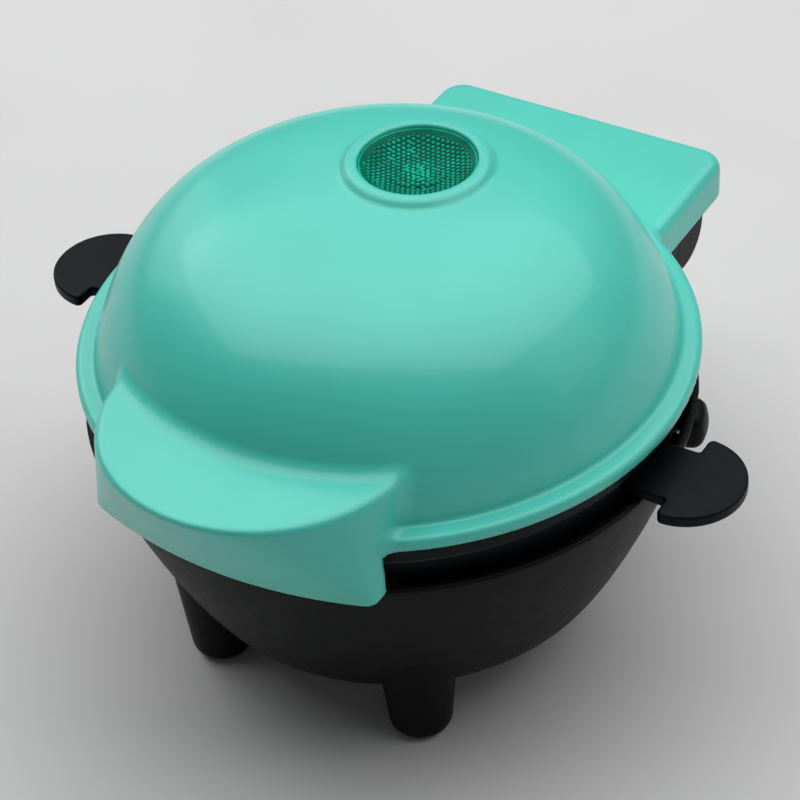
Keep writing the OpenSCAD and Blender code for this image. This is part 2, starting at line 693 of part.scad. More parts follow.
module base_bowl() color(charcoal) on_axis() difference() {
    union() {
        difference() {
            union() {
                bowl_solid(0, bowl_z);
                difference() {
                    hinge_tower();
                    ear_slots();
                }
                translate([0, gland_boss_end - 22, gland_z]) rotate([-90, 0, 0])
                    cylinder(r = gland_boss_r, h = 22);
            }
            translate([0, 0, bowl_wall]) bowl_solid(bowl_wall, bowl_z + 20);
            disc(bowl_top_r - bowl_wall, bowl_z - 1, far);
        }
        bowl_bosses();
    }
    disc(cover_hole_r, 0, floor_top + 1);
    translate([0, 0, frame_foot_z - sheet_t - 2 * seat_gap - 14]) round_ears() disc(screw_r + screw_play, 0, 15);
    cover_screw_places() disc(screw_r + screw_play, 0, floor_top + 5);
    four(foot_x, foot_y) disc(screw_r + screw_play, 0, floor_top + 6);
    translate([0, gland_boss_end - 26, gland_z]) rotate([-90, 0, 0]) cylinder(r = gland_hole_r, h = 40);
    translate([-barrel_half - 1, 0, 0]) hinge_axis()
        cylinder(r = pin_r + pin_seat_play, h = 2 * barrel_half + 1 - pin_end_skin);
    at_button() span([60, -button_w / 2 - move_gap, -button_h / 2 - move_gap],
        [far, button_w / 2 + move_gap, button_h / 2 + move_gap]);
    terminal_screw_places() disc(screw_r + screw_play, floor_top - 2, far);
}

module cover_screw_places() for (a = [45 : 90 : 315]) rotate([0, 0, a])
    translate([cover_screw_reach, 0, 0]) children();

module terminal_screw_places() for (s = [-1, 1]) translate([s * terminal_x, terminal_y, 0]) children();

// Screw bosses of the bowl: four for its frame, four over the feet, four for the cover
module bowl_bosses() intersection() {
    bowl_solid(eps, bowl_z - 1);
    union() {
        round_ears() disc(boss_r, 0, frame_foot_z - sheet_t - 2 * seat_gap);
        difference() {
            union() {
                four(foot_x, foot_y) disc(boss_r, bowl_floor_z, floor_top + 6);
                cover_screw_places() disc(boss_r - 0.6, bowl_floor_z, floor_top + 5);
            }
            disc(cover_hole_r, 0, far);
        }
    }
}

module bottom_cover() color(charcoal) on_axis() difference() {
    union() {
        disc(cover_hole_r + cover_lap, bowl_floor_z - cover_t - seat_gap, bowl_floor_z - seat_gap);
        tube(cover_hole_r - seat_gap, cover_hole_r - 2, bowl_floor_z - 1, floor_top);
    }
    cover_screw_places() disc(screw_r + screw_play, 0, far);
    for (i = [-3 : 3]) translate([i * 6 - 1.2, -13, 0]) cube([2.4, 26, far]);
    four(foot_x, foot_y) disc(foot_top_r - 1 + move_gap, 0, far);
}

module bottom_cover_screws() color(steel) on_axis() cover_screw_places()
    translate([0, 0, bowl_floor_z - cover_t - 2 * seat_gap]) screw(8);

// A tapered foot with a round toe, cut to the bowl it stands under
module foot() difference() {
    rotate_extrude() {
        polygon([[0, pad_proud], [foot_tip_r - toe_r, pad_proud], [foot_tip_r, pad_proud + toe_r],
            [foot_top_r, bowl_floor_z + foot_rise], [0, bowl_floor_z + foot_rise]]);
        intersection() {
            translate([foot_tip_r - toe_r, pad_proud + toe_r]) circle(r = toe_r, $fn = 48);
            translate([0, pad_proud]) square([foot_tip_r, toe_r + 0.5]);
        }
    }
    disc(pad_r + seat_gap, 0, pad_t + seat_gap);
    disc(screw_head_r + 0.6, 0, foot_head_z);
    disc(screw_r + screw_play, 0, far);
}
module placed_foot(x, y) color(black) on_axis() difference() {
    translate([x * foot_x, y * foot_y, 0]) foot();
    bowl_solid(-seat_gap / 2, bowl_z);
    disc(bowl_floor_r + seat_gap, bowl_floor_z - seat_gap, bowl_floor_z + 1);
}
module foot_front_left() placed_foot(-1, -1);
module foot_front_right() placed_foot(1, -1);
module foot_rear_left() placed_foot(-1, 1);
module foot_rear_right() placed_foot(1, 1);

module foot_pads() color([0.2, 0.2, 0.2]) on_axis() four(foot_x, foot_y) disc(pad_r, 0, pad_t);

module foot_screws() color(steel) on_axis() four(foot_x, foot_y)
    translate([0, 0, foot_head_z - seat_gap]) screw(11);

// Ring in the bowl's mouth that the lower plate lies on
module base_frame() color(black) on_axis() difference() {
    union() {
        tube(plate_r, plate_r - frame_tube_w, frame_foot_z, frame_seat_z);
        difference() {
            round_ears() {
                disc(ear_r, frame_foot_z, frame_foot_z + ear_t);
                span([0, -ear_r, frame_foot_z], [8, ear_r, frame_foot_z + ear_t]);
            }
            tube(far, plate_r - frame_tube_w + eps, 0, far);
        }
    }
    tube(far, plate_r - 1.6, 0, bowl_z - 3);
    round_ears() disc(screw_r + screw_play, 0, far);
    translate([plate_r - 10, -grip_front - neck_half - move_gap, bowl_z - eps])
        cube([20, 2 * (neck_half + move_gap), 20]);
    at_button() {
        span([spring_seat, -button_w / 2 - 1, -button_h / 2 - 1], [far, button_w / 2 + 1, button_h / 2 + 1]);
        rotate([0, 90, 0]) cylinder(r = button_stem_r + 0.2, h = far);
    }
}

module base_frame_screws() color(steel) on_axis() round_ears()
    translate([0, 0, frame_foot_z + ear_t]) mirror([0, 0, 1]) screw(13);

module lower_plate() color(black) on_axis() difference() {
    union() {
        translate([0, 0, parting_z]) plate_body();
        plate_tongue(1, lower_tongue_z);
        span([rib_r - 2, -grip_front - tongue_half, lower_tongue_z],
            [rib_r - 0.5, -grip_front + tongue_half, parting_z - plate_t]);
    }
    at_button() span([catch_in, -clip_w / 2, parting_z - button_z - plate_t - rib_h - 1],
        [rib_r + 1, clip_w / 2, parting_z - button_z - plate_t - 0.6]);
}

// Metal tongue that runs out of a plate into its finger grip, to one side
module plate_tongue(side, z) span([min(side * (rib_r - 2), side * tongue_reach), -grip_front - tongue_half, z],
    [max(side * (rib_r - 2), side * tongue_reach), -grip_front + tongue_half, z + tongue_t]);

// Heat-insulated half-moon grip on a tongue
grip_chord = 0.5;
module grip(side, z, tongue_z) color(black) on_axis() difference() {
    translate([0, -grip_front, z]) {
        intersection() {
            translate([side * (grip_reach - grip_r), 0, 0]) cylinder(r = grip_r, h = grip_t);
            span([min(side * (grip_reach - grip_r - grip_chord), side * far), -far / 2, 0],
                [max(side * (grip_reach - grip_r - grip_chord), side * far), far / 2, grip_t]);
        }
        span([min(side * (plate_r + 0.6), side * (grip_reach - grip_r)), -neck_half, 0],
            [max(side * (plate_r + 0.6), side * (grip_reach - grip_r)), neck_half, grip_t]);
    }
    tongue_slot(side, tongue_z);
}

// Slot in a grip that takes the tongue
module tongue_slot(side, z) span(
    [min(side * tongue_slot_in, side * (tongue_reach + seat_gap)), -grip_front - tongue_half - seat_gap, z - seat_gap / 2],
    [max(side * tongue_slot_in, side * (tongue_reach + seat_gap)), -grip_front + tongue_half + seat_gap,
        z + tongue_t + seat_gap / 2]);

module grip_left() grip(-1, upper_grip_z, upper_tongue_z);
module grip_right() grip(1, lower_grip_z, lower_tongue_z);

module lower_plate_clips() color(steel) on_axis() translate([0, 0, parting_z]) plate_clips();

module lower_heater() color(steel) on_axis() translate([0, 0, parting_z]) heater_body(lower_leg);

module lower_heater_clips() color(steel) on_axis() translate([0, 0, parting_z]) heater_clips(lower_dish_off);

module lower_reflector() color(steel) on_axis() translate([0, 0, parting_z])
    reflector_body(lower_rim_off, lower_dish_off);

module lower_thermostat() color(charcoal) on_axis()
    translate([0, thermo_y, parting_z - lower_dish_off - sheet_t]) thermostat_body();

module lower_thermostat_screws() color(steel) on_axis()
    translate([0, thermo_y, parting_z - lower_dish_off - sheet_t]) thermostat_screw_pair();

module thermal_fuse() color(steel) on_axis() translate([fuse_x, fuse_len / 2, fuse_z]) rotate([90, 0, 0]) {
    cylinder(r = fuse_r, h = fuse_len, $fn = 48);
    translate([0, 0, -4]) cylinder(r = 0.6, h = fuse_len + 8, $fn = 24);
}

module fuse_clip() color(steel) on_axis() difference() {
    translate([fuse_x - 4.5, -4, fuse_z - 1.5]) cube([9, 8, fuse_r + 2.4]);
    translate([fuse_x, 10, fuse_z]) rotate([90, 0, 0]) cylinder(r = fuse_r + seat_gap, h = 20, $fn = 48);
}

module terminal_block() color([0.9, 0.9, 0.86]) on_axis() difference() {
    span([-14, terminal_y - 4, floor_top + seat_gap], [14, terminal_y + 4, terminal_top]);
    terminal_screw_places() disc(screw_r + screw_play, 0, far);
    terminal_screw_places() disc(screw_head_r + 0.3, floor_top + 7, far);
    for (x = [-4, 4]) translate([x, terminal_y, floor_top + 5]) rotate([90, 0, 0])
        cylinder(r = 1.6, h = 20, center = true, $fn = 32);
}

module terminal_screws() color(steel) on_axis() terminal_screw_places()
    translate([0, 0, floor_top + 7 + seat_gap]) mirror([0, 0, 1]) screw(9);

// Leads of the base, from the terminal block to the heater, the thermostat and the fuse
module base_wiring() color([0.8, 0.78, 0.7]) on_axis() {
    tip_z = parting_z - heater_off - lower_leg - pin_len - lead_r - seat_gap;
    blade_z = parting_z - lower_dish_off - sheet_t - thermo_h - blade_len - lead_r - seat_gap;
    feed_z = floor_top + 5;
    feed_y = terminal_y - 3;
    fuse_end = fuse_len / 2 + 5;
    lead([[-4, feed_y, feed_z], [-6, feed_y - 12, feed_z], [-leg_x - 3, leg_y - 6, tip_z - 8],
        [-leg_x, leg_y, tip_z]]);
    lead([[4, feed_y, feed_z], [8, feed_y - 24, feed_z - 1], [8, 4, blade_z - 6], [4, thermo_y, blade_z]]);
    lead([[-4, thermo_y, blade_z], [-10, thermo_y - 17, blade_z - 4], [fuse_x, -30, fuse_z - 4],
        [fuse_x, -fuse_end, fuse_z]]);
    lead([[fuse_x, fuse_end, fuse_z], [fuse_x, fuse_end + 8, fuse_z], [leg_x + 6, leg_y - 8, tip_z - 6],
        [leg_x, leg_y, tip_z]]);
}

// Bush where the mains lead enters, in the boss at the bowl's back
module cord_gland() color(black) on_axis() translate([0, 0, gland_z]) rotate([-90, 0, 0]) difference() {
    union() {
        disc(gland_hole_r - seat_gap, gland_boss_end - 16, gland_boss_end + 1);
        disc(gland_boss_r, gland_boss_end + seat_gap, gland_boss_end + 3);
    }
    disc(gland_bore_r, 0, far);
}

// --- release button -----------------------------------------------------------------------------

module release_button() color(black) on_axis() at_button() difference() {
    union() {
        span([button_back, -button_w / 2, -button_h / 2], [button_face - 1.5, button_w / 2, button_h / 2]);
        span([button_face - 1.5 - eps, -button_w / 2 + 1.2, -button_h / 2 + 1.2],
            [button_face, button_w / 2 - 1.2, button_h / 2 - 1.2]);
        translate([catch_in, 0, 0]) rotate([0, 90, 0]) cylinder(r = button_stem_r, h = button_face - 2 - catch_in);
    }
    rotate([0, 90, 0]) tube(spring_r + spring_wire_r + 0.3, button_stem_r, button_back - 1, spring_bore);
}

// Arm on the stem whose tooth reaches into the window of the plate's rib
module release_catch() color(steel) on_axis() at_button() difference() {
    arm_top = parting_z - plate_t - rib_h + 0.6 - button_z;
    union() {
        span([catch_in + 0.2, -3.4, -3.4], [catch_out, 3.4, arm_top]);
        span([catch_in + 0.2, -2.4, arm_top - 1], [rib_r - 0.8, 2.4, arm_top]);
    }
    rotate([0, 90, 0]) cylinder(r = button_stem_r + pin_seat_play, h = far);
}

// Return spring between the frame and the button's bore, a helix round the stem
module release_spring() color(steel) on_axis() at_button() {
    start = spring_seat + spring_wire_r + seat_gap;
    length = spring_bore - spring_seat - 2 * (spring_wire_r + seat_gap);
    steps = 16 * spring_turns;
    bar([for (i = [0 : steps]) let (t = 360 * i / 16)
        [start + length * i / steps, spring_r * cos(t), spring_r * sin(t)]], spring_wire_r, [1, 0, 0], 6);
}

lid_shell();
indicator_lens();
lens_diffuser();
lamp_cup();
lamp_board();
indicator_lamps();
lamp_screws();
lid_frame();
lid_frame_screws();
upper_plate();
upper_plate_clips();
upper_heater();
upper_heater_clips();
upper_reflector();
upper_thermostat();
upper_thermostat_screws();
lid_wiring();
lid_hinge_bracket();
hinge_screws();
hinge_pin();
base_bowl();
bottom_cover();
bottom_cover_screws();
foot_front_left();
foot_front_right();
foot_rear_left();
foot_rear_right();
foot_pads();
foot_screws();
base_frame();
base_frame_screws();
lower_plate();
grip_left();
grip_right();
lower_plate_clips();
lower_heater();
lower_heater_clips();
lower_reflector();
lower_thermostat();
lower_thermostat_screws();
thermal_fuse();
fuse_clip();
terminal_block();
terminal_screws();
base_wiring();
cord_gland();
release_button();
release_catch();
release_spring();
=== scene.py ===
import json
import math
import bpy
import numpy as np
from mathutils import Matrix, Vector


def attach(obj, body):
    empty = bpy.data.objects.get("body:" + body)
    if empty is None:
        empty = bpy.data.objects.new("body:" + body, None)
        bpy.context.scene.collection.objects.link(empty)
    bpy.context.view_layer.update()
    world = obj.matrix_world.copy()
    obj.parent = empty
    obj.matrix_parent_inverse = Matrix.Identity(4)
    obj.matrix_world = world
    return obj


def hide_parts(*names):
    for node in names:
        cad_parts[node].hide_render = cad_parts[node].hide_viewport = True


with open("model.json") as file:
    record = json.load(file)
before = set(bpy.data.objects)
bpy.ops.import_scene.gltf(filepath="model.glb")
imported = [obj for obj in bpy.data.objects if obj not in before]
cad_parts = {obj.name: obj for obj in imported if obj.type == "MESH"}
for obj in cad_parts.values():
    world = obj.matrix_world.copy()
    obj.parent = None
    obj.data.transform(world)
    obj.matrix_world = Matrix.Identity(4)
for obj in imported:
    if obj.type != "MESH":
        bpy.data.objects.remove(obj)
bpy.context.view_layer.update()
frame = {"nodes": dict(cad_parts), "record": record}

# Donut maker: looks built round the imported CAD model.
# Shapes are distance fields in millimetres, about the bowl's upright axis, negative inside.

MM = 0.001

# --- sizes, as in the CAD model ---------------------------------------------------------------

AXIS_Y = -6.0
RIM_R, RIM_Z, RIM_H, RIM_LIP = 75.0, 79.0, 3.5, 2.4
DOME_R, DOME_H, WALL = 70.1, 37.0, 2.4
DOME_Z = RIM_Z + RIM_H
DOME_TOP = DOME_Z + DOME_H
LENS_R, LENS_BACK, RING_W, RING_H = 14.2, 18.0, 3.6, 1.6
HANDLE_HALF, HANDLE_REACH, HANDLE_FOOT = 38.0, 91.0, 77.4
HANDLE_TOP_Z, HANDLE_FOOT_Z, SWEEP_R, CORNER_R = RIM_Z + 15.5, RIM_Z - 11.4, 110.0, 3.0
HOOD_HALF, HOOD_REACH, HOOD_CORNER = 41.0, 103.0, 6.5
HOOD_TOP_Z, HOOD_FOOT_Z = RIM_Z + 4.0, RIM_Z - 7.0
PIN_REACH, PIN_Z, BARREL_R = 88.5, RIM_Z - 14.5, 11.0
BARREL_HALF = 36.2
EAR_IN, EAR_OUT = 13.0, 21.0
BOWL_R, BOWL_Z, FLOOR_R, FLOOR_Z = 74.6, 67.2, 53.5, 16.5
COVER_HOLE_R = 36.0
LENS_DISH, BEAD_H, GLINT_H, GLINT_R = 2.9, 0.34, 0.7, 6.5
LENS_BOTTOM, LENS_FLANGE, LENS_FLANGE_T = 4.7, 1.6, 1.4
HANDLE_BACK, DOME_P, DOME_Q, BOWL_P = 41.0, 5.2, 1.22, 1.17
FOOT_X, FOOT_Y, FOOT_TOP_R, FOOT_TIP_R = 29.02, 41.45, 10.6, 7.8
FOOT_TOP_Z, TOE_R, PAD_R = FLOOR_Z + 15, 3.2, 4.2
GRIP_R, GRIP_REACH, GRIP_FRONT, GRIP_T = 14.5, 95.0, 3.0, 3.2
GRIP_NECK, LOWER_GRIP_Z, UPPER_GRIP_Z = 9.0, BOWL_Z + 0.4, RIM_Z - 5.6
PLATE_R, RIB_R = 70.0, 65.5
BUTTON_ANGLE, BUTTON_W, BUTTON_H, BUTTON_Z = 20.0, 10.5, 10.0, BOWL_Z - 6.2
BUTTON_FACE = BOWL_R + 2.6
BUTTON_DEPTH, STEM_R, STEM_IN = 5.4, 2.0, RIB_R - 4.7
GLAND_Z, GLAND_BOSS_R, GLAND_HOLE_R = FLOOR_Z + 15.4, 9.0, 6.6
GLAND_END, GLAND_BOSS_LENGTH = 68.0, 22.0
CUT_FROM = 60.0
PAD_DEPTH = 1.7
MOVE_GAP, SEAT_GAP = 0.4, 0.1
FAR = 60.0

# --- distance fields ----------------------------------------------------------------------------


def both(a, b, r):
    """What is inside a and b, with an edge rounded to r."""
    return np.minimum(np.maximum(a, b), -r) + np.hypot(np.maximum(a + r, 0), np.maximum(b + r, 0))


def either(a, b, r):
    """What is inside a or b, with a fillet of radius r between them."""
    return np.maximum(np.minimum(a, b), r) - np.hypot(np.maximum(r - a, 0), np.maximum(r - b, 0))


def minus(a, b, r):
    """What is inside a and outside b, with an edge rounded to r."""
    return both(a, -b, r)


def slab(v, low, high):
    """Between two parallel planes."""
    return np.maximum(low - v, v - high)


def box2(u, v, half_u, half_v, r):
    """A rectangle about the origin with round corners."""
    a, b = np.abs(u) - half_u + r, np.abs(v) - half_v + r
    return np.minimum(np.maximum(a, b), 0) + np.hypot(np.maximum(a, 0), np.maximum(b, 0)) - r


def bulge(r, h, radius, height, p, q):
    """A dome whose profile is (r / radius) ^ p + (h / height) ^ q = 1."""
    a, b = r / radius, np.maximum(h, 1e-6) / height
    g = a ** p + b ** q - 1
    slope = np.hypot(p / radius * a ** (p - 1), q / height * b ** (q - 1))
    return g / np.maximum(slope, 0.006)


def near(mask, values, field, away=FAR):
    """field where mask holds, and a large distance elsewhere."""
    out = np.full(values[0].shape, away, values[0].dtype)
    if mask.any():
        out[mask] = field(*[v[mask] for v in values])
    return out


# --- meshes from fields -------------------------------------------------------------------------

CORNERS = [(i, j, k) for i in (0, 1) for j in (0, 1) for k in (0, 1)]
EDGES = [(a, b) for a in CORNERS for b in CORNERS
         if sum(b) - sum(a) == 1 and all(q >= p for p, q in zip(a, b))]


def gradient(field, v, h=0.03):
    """The field's slope at each row of v."""
    g = np.empty_like(v)
    for i in range(3):
        step = np.zeros(3)
        step[i] = h
        g[:, i] = (field(*(v + step).T) - field(*(v - step).T)) / (2 * h)
    return g


def net(field, low, high, step):
    """(vertices, quads, normals) of the surface where field is 0, by surface nets."""
    axes = [np.arange(a, b + step, step) for a, b in zip(low, high)]
    x, y, z = np.meshgrid(*axes, indexing="ij")
    f = field(x.astype(np.float32), y.astype(np.float32), z.astype(np.float32))
    inside = f < 0
    cells = tuple(n - 1 for n in f.shape)

    def corner(a, c):
        return a[tuple(slice(o, o + n) for o, n in zip(c, cells))]

    count = sum(corner(inside, c).astype(np.int8) for c in CORNERS)
    active = (count > 0) & (count < 8)
    where = np.argwhere(active)
    total, crossings = np.zeros((len(where), 3)), np.zeros(len(where))
    for a, b in EDGES:
        fa, fb = corner(f, a)[active], corner(f, b)[active]
        cut = (fa < 0) != (fb < 0)
        t = np.where(cut, fa / np.where(cut, fa - fb, 1), 0)
        place = np.array(a) + t[:, None] * (np.array(b) - np.array(a))
        total += place * cut[:, None]
        crossings += cut
    v = np.array(low) + step * (where + total / crossings[:, None])
    for _ in range(5):
        g = gradient(field, v)
        d = field(*v.T)
        move = g * (d / np.maximum((g ** 2).sum(1), 0.05))[:, None]
        size = np.linalg.norm(move, axis=1)
        v = v - move * np.minimum(1, step / np.maximum(size, 1e-9))[:, None]
    index = np.full(cells, -1, np.int64)
    index[active] = np.arange(len(where))
    quads = []
    for axis in range(3):
        u, w = (axis + 1) % 3, (axis + 2) % 3
        ahead = [slice(1, n) for n in cells]
        ahead[axis] = slice(0, cells[axis])
        far_side = list(ahead)
        far_side[axis] = slice(1, cells[axis] + 1)
        here, there = inside[tuple(ahead)], inside[tuple(far_side)]
        for way in (True, False):
            g = np.argwhere((here != there) & (here == way))
            g[:, u] += 1
            g[:, w] += 1
            around = []
            for du, dw in ((-1, -1), (0, -1), (0, 0), (-1, 0)):
                c = g.copy()
                c[:, u] += du
                c[:, w] += dw
                around.append(index[tuple(c.T)])
            quads.append(np.stack(around if way else around[::-1], 1))
    quads = np.concatenate(quads)
    quads = quads[(quads >= 0).all(1)]
    n = gradient(field, v)
    return v, quads, n / np.maximum(np.linalg.norm(n, axis=1), 1e-9)[:, None]


def finish_piece(name, mesh, material, body, stands_for):
    """Puts a new mesh in the scene as a piece of the object."""
    piece = bpy.data.objects.new(name, mesh)
    bpy.context.scene.collection.objects.link(piece)
    mesh.materials.append(material)
    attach(piece, body)
    if stands_for:
        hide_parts(*stands_for)
    return piece


def moulded(name, field, low, high, step, material, body, stands_for):
    """A piece made from a field."""
    v, quads, n = net(field, low, high, step)
    mesh = bpy.data.meshes.new(name)
    mesh.from_pydata((v + [0, AXIS_Y, 0]) * MM, [], quads.tolist())
    mesh.polygons.foreach_set("use_smooth", np.ones(len(mesh.polygons), bool))
    mesh.normals_split_custom_set_from_vertices(n.tolist())
    mesh.update()
    return finish_piece(name, mesh, material, body, stands_for)


# --- materials ----------------------------------------------------------------------------------


def linear(rgb):
    """sRGB values from 0 to 255, as linear colour."""
    c = np.array(rgb) / 255
    return [*np.where(c <= 0.04045, c / 12.92, ((c + 0.055) / 1.055) ** 2.4).tolist(), 1]


class Look:
    """A procedural material, with short calls for the nodes it needs."""

    def __init__(self, name, rough, metallic=0.0, coat=0.0, coat_rough=0.05, **sockets):
        self.material = bpy.data.materials.new(name)
        self.material.use_nodes = True
        self.tree = self.material.node_tree
        self.shader = self.tree.nodes["Principled BSDF"]
        values = {"Roughness": rough, "Metallic": metallic, "Coat Weight": coat, "Coat Roughness": coat_rough}
        for key, value in {**values, **sockets}.items():
            self.shader.inputs[key].default_value = value
        self.place = self.node("ShaderNodeTexCoord").outputs["Object"]

    def node(self, kind, **settings):
        n = self.tree.nodes.new(kind)
        for key, value in settings.items():
            setattr(n, key, value)
        return n

    def link(self, a, b):
        self.tree.links.new(a, b)

    def noise(self, per_mm, detail=3.0, stretch=(1, 1, 1), rough=0.5):
        """Noise with about per_mm features a millimetre."""
        m = self.node("ShaderNodeMapping")
        m.inputs["Scale"].default_value = stretch
        n = self.node("ShaderNodeTexNoise")
        n.inputs["Scale"].default_value = per_mm / MM
        n.inputs["Detail"].default_value = detail
        n.inputs["Roughness"].default_value = rough
        self.link(self.place, m.inputs["Vector"])
        self.link(m.outputs["Vector"], n.inputs["Vector"])
        return n.outputs["Fac"]

    def cells(self, per_mm, feature="F1", smooth=False):
        """Distance to the nearest of scattered points."""
        n = self.node("ShaderNodeTexVoronoi", feature=feature)
        n.inputs["Scale"].default_value = per_mm / MM
        self.link(self.place, n.inputs["Vector"])
        return n.outputs["Distance"]

    def ramp(self, fac, stops):
        """Colours along a value: stops are (position, colour)."""
        n = self.node("ShaderNodeValToRGB")
        ramp = n.color_ramp
        while len(ramp.elements) < len(stops):
            ramp.elements.new(0.5)
        for element, (at, colour) in zip(ramp.elements, stops):
            element.position = at
            element.color = colour
        self.link(fac, n.inputs["Fac"])
        return n.outputs["Color"]

    def span(self, fac, low, high, out_low, out_high):
        n = self.node("ShaderNodeMapRange")
        for i, value in enumerate((low, high, out_low, out_high)):
            n.inputs[i + 1].default_value = value
        self.link(fac, n.inputs[0])
        return n.outputs[0]

    def mix(self, fac, a, b):
        """a where fac is 0 and b where it is 1; a and b are sockets or colours."""
        n = self.node("ShaderNodeMix", data_type="RGBA")
        for socket, value in ((n.inputs[0], fac), (n.inputs[6], a), (n.inputs[7], b)):
            if isinstance(value, bpy.types.NodeSocket):
                self.link(value, socket)
            else:
                socket.default_value = value
        return n.outputs[2]

    def edges(self, low=0.52, high=0.62):
        """1 on sharp outer edges."""
        n = self.node("ShaderNodeNewGeometry")
        return self.span(n.outputs["Pointiness"], low, high, 0, 1)

    def colour(self, value):
        self.link(value, self.shader.inputs["Base Color"])

    def rough(self, value):
        self.link(value, self.shader.inputs["Roughness"])

    def bump(self, *layers):
        """Layers of (height, depth in mm)."""
        last = None
        for height, depth in layers:
            n = self.node("ShaderNodeBump")
            n.inputs["Distance"].default_value = depth * MM
            n.inputs["Strength"].default_value = 1.0
            self.link(height, n.inputs["Height"])
            if last:
                self.link(last, n.inputs["Normal"])
            last = n.outputs["Normal"]
        self.link(last, self.shader.inputs["Normal"])


def tint(rgb, by):
    """A colour made lighter or darker."""
    return linear([min(255, max(0, c * by)) for c in rgb])


def gloss_mint():
    look = Look("mint_gloss", 0.38, coat=0.3, coat_rough=0.1)
    base = (78, 209, 193)
    flow = look.noise(0.02, 2)
    body = look.ramp(flow, [(0.3, tint(base, 0.975)), (0.7, tint(base, 1.02))])
    speck = look.span(look.noise(2.2, 2), 0.68, 0.8, 0, 0.16)
    body = look.mix(speck, body, tint(base, 1.12))
    look.colour(look.mix(look.edges(0.56, 0.7), body, tint(base, 1.06)))
    look.rough(look.span(look.noise(0.12, 4), 0.3, 0.7, 0.36, 0.44))
    look.bump((look.noise(0.35, 3), 0.02), (look.noise(3.0, 2), 0.003))
    return look.material


def satin_plastic(name, base, rough, grain=2.6, depth=0.014, shine=0.5):
    """Dark moulded plastic with a fine spark-eroded grain, rubbed paler along its edges."""
    look = Look(name, rough, **{"Specular IOR Level": shine})
    flow = look.noise(0.05, 4)
    body = look.ramp(flow, [(0.3, tint(base, 0.9)), (0.7, tint(base, 1.1))])
    look.colour(look.mix(look.edges(), body, tint([c + 5 for c in base], 1.2)))
    look.rough(look.span(look.noise(0.3, 5), 0.3, 0.7, rough - 0.03, rough + 0.04))
    look.bump((look.noise(grain, 4, rough=0.7), depth), (look.noise(0.05, 2), 0.01))
    return look.material


def nonstick():
    look = Look("nonstick_coat", 0.38, **{"Specular IOR Level": 0.3})
    base = (26, 26, 28)
    fleck = look.span(look.cells(1.5), 0.0, 0.16, 1, 0)
    body = look.ramp(look.noise(0.4, 4), [(0.3, tint(base, 0.85)), (0.7, tint(base, 1.2))])
    body = look.mix(fleck, body, linear((86, 86, 90)))
    look.colour(look.mix(look.edges(0.54, 0.66), body, linear((70, 70, 72))))
    look.rough(look.span(look.noise(0.8, 4), 0.3, 0.7, 0.3, 0.46))
    look.bump((look.noise(1.6, 5, rough=0.7), 0.02), (look.noise(0.2, 2), 0.02))
    return look.material


def metal(name, base, rough, stretch=(1, 1, 1), stain=0.0, grain=1.5):
    """Sheet or turned metal: a directional grain, blotches and an optional heat stain."""
    look = Look(name, rough, metallic=1.0)
    lines = look.noise(grain, 4, stretch)
    body = look.ramp(lines, [(0.3, tint(base, 0.82)), (0.7, tint(base, 1.08))])
    if stain:
        patch = look.span(look.noise(0.06, 4), 0.45, 0.7, 0, stain)
        body = look.mix(patch, body, linear((150, 118, 84)))
    look.colour(look.mix(look.edges(), body, tint(base, 1.15)))
    look.rough(look.span(look.noise(0.5, 5), 0.3, 0.7, rough - 0.08, rough + 0.12))
    look.bump((lines, 0.01), (look.noise(0.3, 3), 0.02))
    return look.material


def heater_sheath():
    look = Look("heater_sheath", 0.48, metallic=0.85)
    body = look.ramp(look.noise(0.14, 5), [
        (0.3, linear((62, 58, 56))), (0.5, linear((92, 84, 78))), (0.7, linear((118, 98, 84)))])
    look.colour(look.mix(look.edges(), body, linear((128, 120, 114))))
    look.rough(look.span(look.noise(0.9, 5), 0.3, 0.7, 0.38, 0.6))
    look.bump((look.noise(1.4, 5, rough=0.7), 0.03))
    return look.material


def green_lens():
    """Clear green plastic, with painted shade between its beads and a painted highlight on their tops."""
    look = Look("green_lens", 0.2, **{"Specular IOR Level": 0.06})
    # Painted light: the ramp darkens the hollows between beads as painted shade and lightens the bead tops as
    # a painted highlight; its middle stop is the lens's own green.
    painted_bead_light = look.edges(0.47, 0.55)
    body = look.ramp(painted_bead_light, [
        (0.0, linear((0, 56, 45))), (0.5, linear((0, 132, 105))), (1.0, linear((10, 206, 167)))])
    cloud = look.span(look.noise(0.14, 3), 0.35, 0.7, 0, 0.55)
    look.colour(look.mix(cloud, body, linear((0, 84, 68))))
    look.rough(look.span(look.noise(0.8, 3), 0.3, 0.7, 0.14, 0.26))
    look.bump((look.noise(1.2, 2), 0.02))
    return look.material


def white_plastic():
    look = Look("white_plastic", 0.42, coat=0.1)
    body = look.ramp(look.noise(0.08, 3), [(0.3, linear((226, 226, 220))), (0.7, linear((244, 244, 240)))])
    look.colour(look.mix(look.edges(), body, linear((250, 250, 248))))
    look.rough(look.span(look.noise(0.4, 4), 0.3, 0.7, 0.36, 0.5))
    look.bump((look.noise(1.8, 3), 0.01))
    return look.material


def ceramic():
    look = Look("ceramic", 0.6)
    body = look.ramp(look.noise(0.3, 5), [(0.3, linear((206, 200, 184))), (0.7, linear((232, 228, 216)))])
    fleck = look.span(look.cells(0.8), 0.0, 0.12, 0.7, 0)
    look.colour(look.mix(fleck, body, linear((150, 140, 122))))
    look.rough(look.span(look.noise(1.2, 4), 0.3, 0.7, 0.5, 0.72))
    look.bump((look.noise(1.6, 5, rough=0.7), 0.03))
    return look.material


